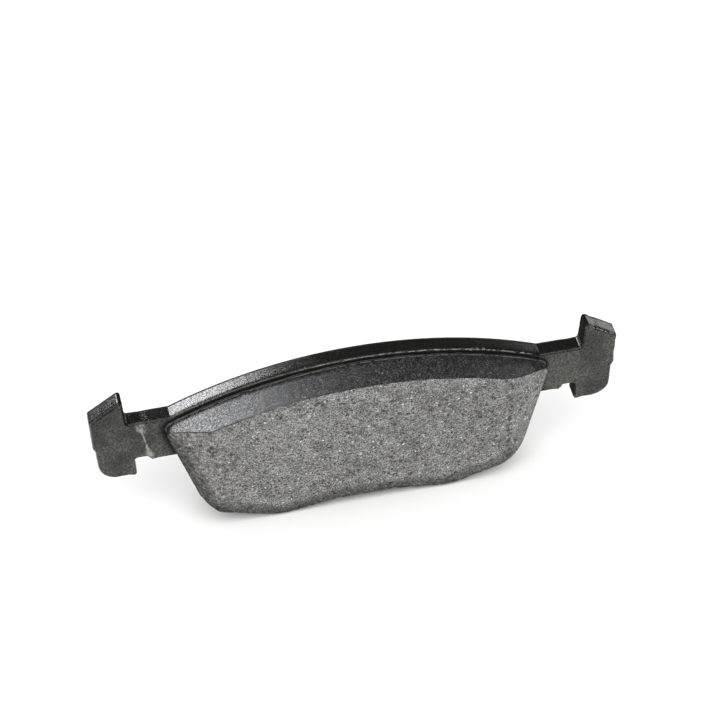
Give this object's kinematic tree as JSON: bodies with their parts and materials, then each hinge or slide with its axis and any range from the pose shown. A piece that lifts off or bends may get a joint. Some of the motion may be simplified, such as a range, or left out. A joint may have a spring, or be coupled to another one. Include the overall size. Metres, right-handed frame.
{
  "type": "disc brake pad",
  "caption": "Disc brake pad: steel backing plate with hammerhead ears, bonded friction block with chamfered ends, and a layered damping shim on the back.",
  "frame": {"origin": "midway along the pad and midway through its thickness, on the level of the plate's lowest edge", "axes": "+X along the pad, +Y from the friction face towards the shim, +Z away from the axle, towards the curved top"},
  "size_m": [0.155, 0.0156, 0.0518],
  "materials": {
    "coated_steel": "fine-grained dark olive-grey coating on stamped steel",
    "bond_resin": "thin cured brown resin",
    "underlayer_compound": "dense dark moulded compound",
    "friction_compound": "ground granular compound with pits, light flecks and fibres",
    "shim_glue": "soft tacky film",
    "shim_rubber": "matt black rubber coat",
    "shim_steel": "thin cold-rolled sheet"
  },
  "bodies": {
    "root": {"backing_plate": "coated_steel", "bond_film": "bond_resin", "underlayer": "underlayer_compound", "friction_block": "friction_compound", "shim_adhesive": "shim_glue", "shim_inner_rubber": "shim_rubber", "shim_steel_core": "shim_steel", "shim_outer_rubber": "shim_rubber"}
  },
  "joints": []
}
